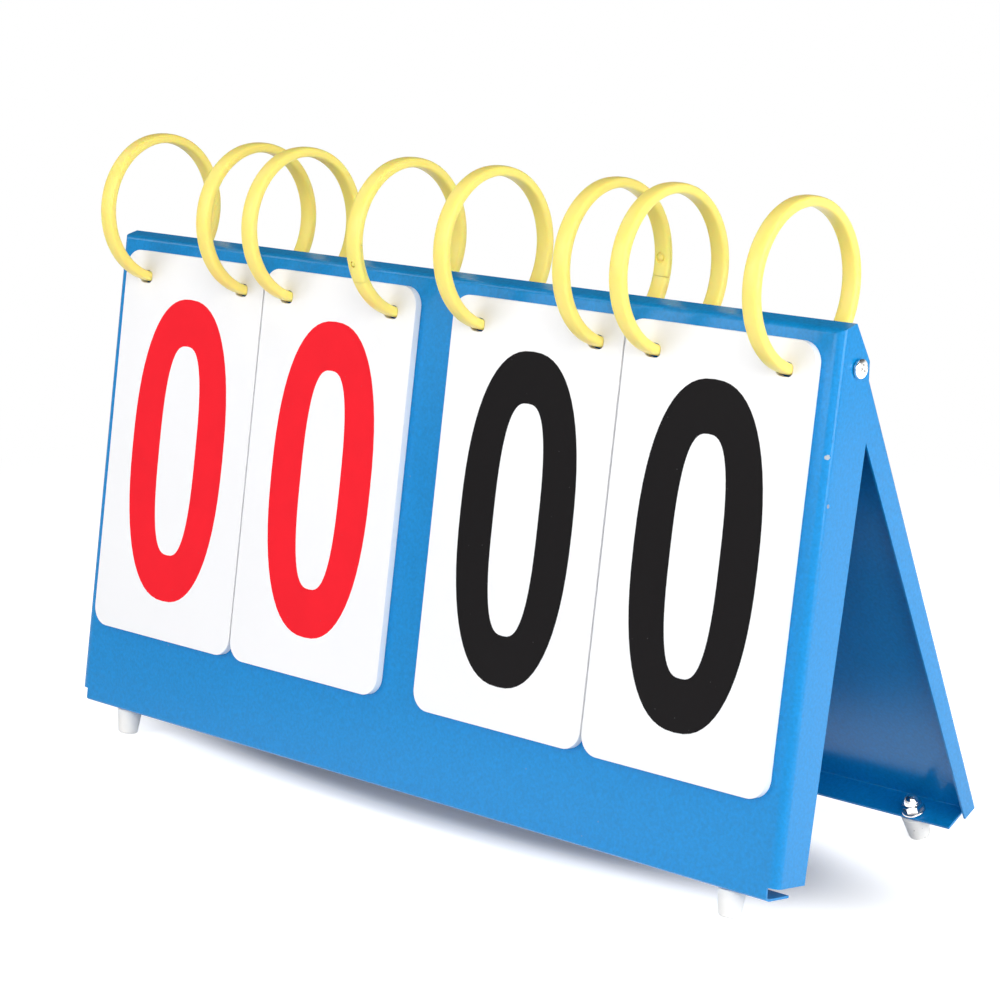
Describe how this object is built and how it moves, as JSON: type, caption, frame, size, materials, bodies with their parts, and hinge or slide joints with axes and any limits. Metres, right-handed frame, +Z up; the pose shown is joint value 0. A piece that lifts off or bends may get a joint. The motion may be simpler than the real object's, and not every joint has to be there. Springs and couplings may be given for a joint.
{
  "type": "flip scoreboard",
  "caption": "Table-top flip scoreboard: a folding sheet-metal A-frame with binder rings that carry stacks of number leaves.",
  "frame": {"origin": "middle of the footprint at the lowest edge of the feet", "axes": "+X along the width, to the right for someone who faces the numbers; +Y from the front towards the back; +Z up"},
  "size_m": [0.3902, 0.1348, 0.2635],
  "materials": {
    "blue_powder_coat": "glossy powder coat",
    "yellow_plastic": "moulded, satin gloss",
    "white_leaf": "smooth coated sheet",
    "cream_rubber": "matt",
    "bright_steel": "bright nickel plate"
  },
  "bodies": {
    "front_stand": {"front_tray": "blue_powder_coat", "foot_front_left": "cream_rubber", "foot_front_right": "cream_rubber", "dome_nut_front_left": "bright_steel", "dome_nut_front_right": "bright_steel", "red_tens_leaf_1": "white_leaf", "red_tens_leaf_2": "white_leaf", "red_tens_leaf_3": "white_leaf", "red_tens_leaf_4": "white_leaf", "red_tens_leaf_5": "white_leaf", "red_tens_leaf_6": "white_leaf", "red_tens_leaf_7": "white_leaf", "red_tens_leaf_8": "white_leaf", "red_tens_leaf_9": "white_leaf", "red_ones_leaf_1": "white_leaf", "red_ones_leaf_2": "white_leaf", "red_ones_leaf_3": "white_leaf", "red_ones_leaf_4": "white_leaf", "red_ones_leaf_5": "white_leaf", "red_ones_leaf_6": "white_leaf", "red_ones_leaf_7": "white_leaf", "red_ones_leaf_8": "white_leaf", "red_ones_leaf_9": "white_leaf", "black_tens_leaf_1": "white_leaf", "black_tens_leaf_2": "white_leaf", "black_tens_leaf_3": "white_leaf", "black_tens_leaf_4": "white_leaf", "black_tens_leaf_5": "white_leaf", "black_tens_leaf_6": "white_leaf", "black_tens_leaf_7": "white_leaf", "black_tens_leaf_8": "white_leaf", "black_tens_leaf_9": "white_leaf", "black_ones_leaf_1": "white_leaf", "black_ones_leaf_2": "white_leaf", "black_ones_leaf_3": "white_leaf", "black_ones_leaf_4": "white_leaf", "black_ones_leaf_5": "white_leaf", "black_ones_leaf_6": "white_leaf", "black_ones_leaf_7": "white_leaf", "black_ones_leaf_8": "white_leaf", "black_ones_leaf_9": "white_leaf"},
    "rear_leg": {"rear_tray": "blue_powder_coat", "foot_rear_left": "cream_rubber", "foot_rear_right": "cream_rubber", "dome_nut_rear_left": "bright_steel", "dome_nut_rear_right": "bright_steel", "hinge_screw_left": "bright_steel", "hinge_screw_right": "bright_steel"},
    "ring_1": {"ring_1": "yellow_plastic"},
    "ring_2": {"ring_2": "yellow_plastic"},
    "ring_3": {"ring_3": "yellow_plastic"},
    "ring_4": {"ring_4": "yellow_plastic"},
    "ring_5": {"ring_5": "yellow_plastic"},
    "ring_6": {"ring_6": "yellow_plastic"},
    "ring_7": {"ring_7": "yellow_plastic"},
    "ring_8": {"ring_8": "yellow_plastic"},
    "red_tens_top_leaf": {"red_tens_leaf_0": "white_leaf"},
    "red_ones_top_leaf": {"red_ones_leaf_0": "white_leaf"},
    "black_tens_top_leaf": {"black_tens_leaf_0": "white_leaf"},
    "black_ones_top_leaf": {"black_ones_leaf_0": "white_leaf"}
  },
  "joints": [
    {"name": "rear_leg_fold", "type": "hinge", "parent": "front_stand", "child": "rear_leg", "pos_m": [0, -0.02839, 0.20316], "axis": [-1, 0, 0], "range_deg": [0, 30.5]},
    {"name": "ring_1_turn", "type": "hinge", "parent": "front_stand", "child": "ring_1", "pos_m": [-0.1712, -0.0342, 0.23122], "axis": [1, 0, 0], "continuous": true},
    {"name": "ring_2_turn", "type": "hinge", "parent": "front_stand", "child": "ring_2", "pos_m": [-0.11098, -0.0342, 0.23122], "axis": [1, 0, 0], "continuous": true},
    {"name": "ring_3_turn", "type": "hinge", "parent": "front_stand", "child": "ring_3", "pos_m": [-0.08367, -0.0342, 0.23122], "axis": [1, 0, 0], "continuous": true},
    {"name": "ring_4_turn", "type": "hinge", "parent": "front_stand", "child": "ring_4", "pos_m": [-0.02345, -0.0342, 0.23122], "axis": [1, 0, 0], "continuous": true},
    {"name": "ring_5_turn", "type": "hinge", "parent": "front_stand", "child": "ring_5", "pos_m": [0.02345, -0.0342, 0.23122], "axis": [1, 0, 0], "continuous": true},
    {"name": "ring_6_turn", "type": "hinge", "parent": "front_stand", "child": "ring_6", "pos_m": [0.08367, -0.0342, 0.23122], "axis": [1, 0, 0], "continuous": true},
    {"name": "ring_7_turn", "type": "hinge", "parent": "front_stand", "child": "ring_7", "pos_m": [0.11098, -0.0342, 0.23122], "axis": [1, 0, 0], "continuous": true},
    {"name": "ring_8_turn", "type": "hinge", "parent": "front_stand", "child": "ring_8", "pos_m": [0.1712, -0.0342, 0.23122], "axis": [1, 0, 0], "continuous": true},
    {"name": "red_tens_flip", "type": "hinge", "parent": "front_stand", "child": "red_tens_top_leaf", "pos_m": [-0.14109, -0.0342, 0.23122], "axis": [-1, 0, 0], "range_deg": [0, 316]},
    {"name": "red_ones_flip", "type": "hinge", "parent": "front_stand", "child": "red_ones_top_leaf", "pos_m": [-0.05356, -0.0342, 0.23122], "axis": [-1, 0, 0], "range_deg": [0, 316]},
    {"name": "black_tens_flip", "type": "hinge", "parent": "front_stand", "child": "black_tens_top_leaf", "pos_m": [0.05356, -0.0342, 0.23122], "axis": [-1, 0, 0], "range_deg": [0, 316]},
    {"name": "black_ones_flip", "type": "hinge", "parent": "front_stand", "child": "black_ones_top_leaf", "pos_m": [0.14109, -0.0342, 0.23122], "axis": [-1, 0, 0], "range_deg": [0, 316]}
  ]
}
